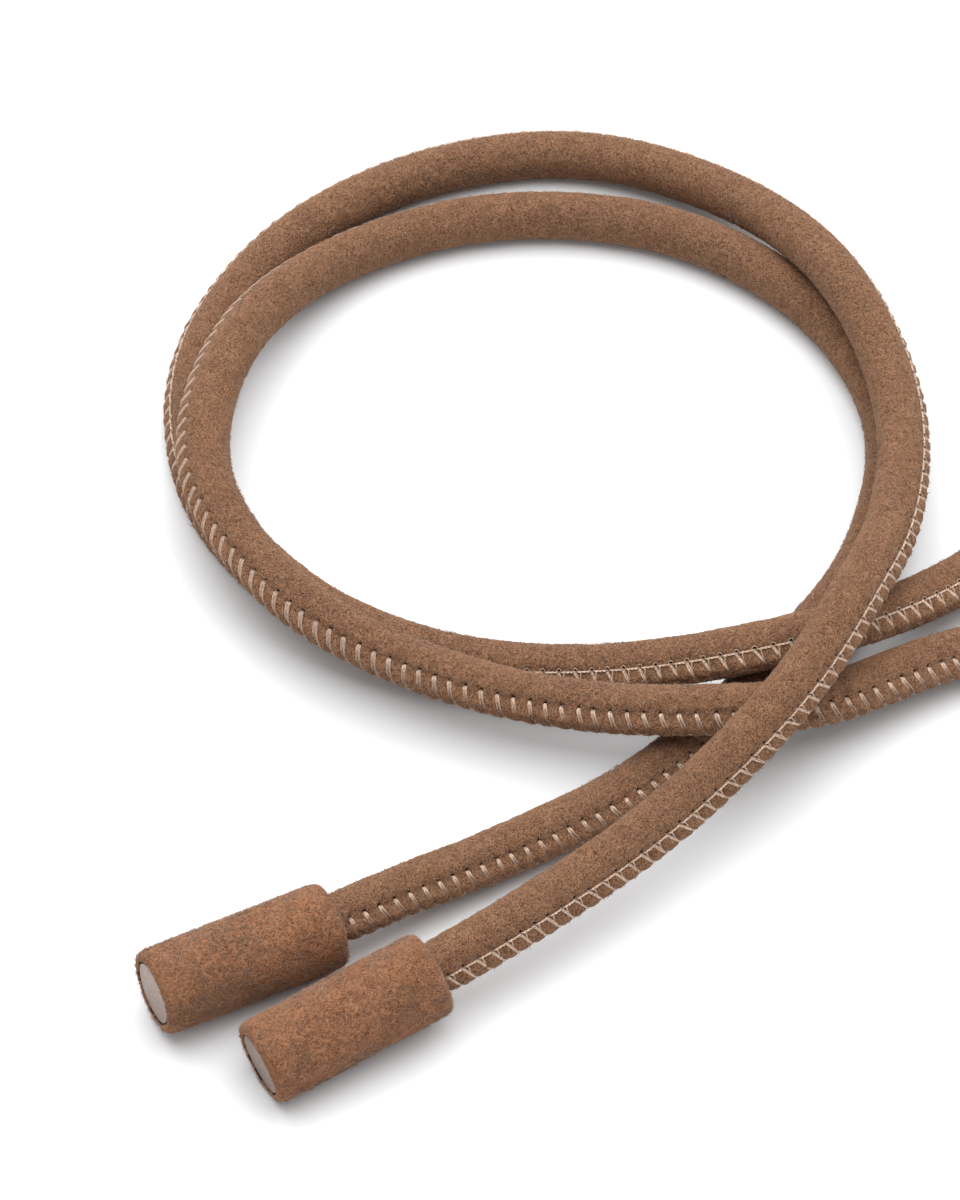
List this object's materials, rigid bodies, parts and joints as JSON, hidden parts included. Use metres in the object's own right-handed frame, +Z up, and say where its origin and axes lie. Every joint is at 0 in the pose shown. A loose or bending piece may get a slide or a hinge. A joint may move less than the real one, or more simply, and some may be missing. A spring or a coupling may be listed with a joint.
{
  "type": "eyewear strap",
  "caption": "Round sewn suede cord for hanging eyewear round the neck, laid in a loop, with a suede-covered magnetic barrel on each end.",
  "frame": {"origin": "on the table surface, under the middle of the box round the two end barrels", "axes": "+Z up from the table; +X to the right along the longer side of the two barrels' box; +Y from the barrels towards the loop of cord"},
  "size_m": [0.1295, 0.1229, 0.0151],
  "materials": {
    "cord_suede": "matte brown suede, short nap",
    "barrel_suede": "matte brown suede, longer mottled nap",
    "stitch_thread": "pale beige twisted thread",
    "core_cotton": "matte cotton filler cord",
    "magnet_plating": "satin nickel plating",
    "cup_steel": "drawn steel",
    "ferrule_brass": "crimped brass"
  },
  "bodies": {
    "strap": {"suede_cover": "cord_suede", "core_cord": "core_cotton", "needle_thread": "stitch_thread", "looper_thread": "stitch_thread"},
    "end_a": {"suede_sleeve_a": "barrel_suede", "magnet_cup_a": "cup_steel", "magnet_a": "magnet_plating", "crimp_ferrule_a": "ferrule_brass"},
    "end_b": {"suede_sleeve_b": "barrel_suede", "magnet_cup_b": "cup_steel", "magnet_b": "magnet_plating", "crimp_ferrule_b": "ferrule_brass"}
  },
  "joints": [
    {"name": "end_a_lift", "type": "hinge", "parent": "strap", "child": "end_a", "pos_m": [0.01235, 0.01353, 0.00394], "axis": [-0.4493, 0.8934, 0], "range_deg": [0, 75], "deforming": ["suede_cover", "core_cord", "needle_thread", "looper_thread"]},
    {"name": "end_b_lift", "type": "hinge", "parent": "strap", "child": "end_b", "pos_m": [0.0222, 0.00733, 0.00683], "axis": [-0.4985, 0.8669, 0], "range_deg": [0, 75], "deforming": ["suede_cover", "core_cord", "needle_thread", "looper_thread"]}
  ]
}
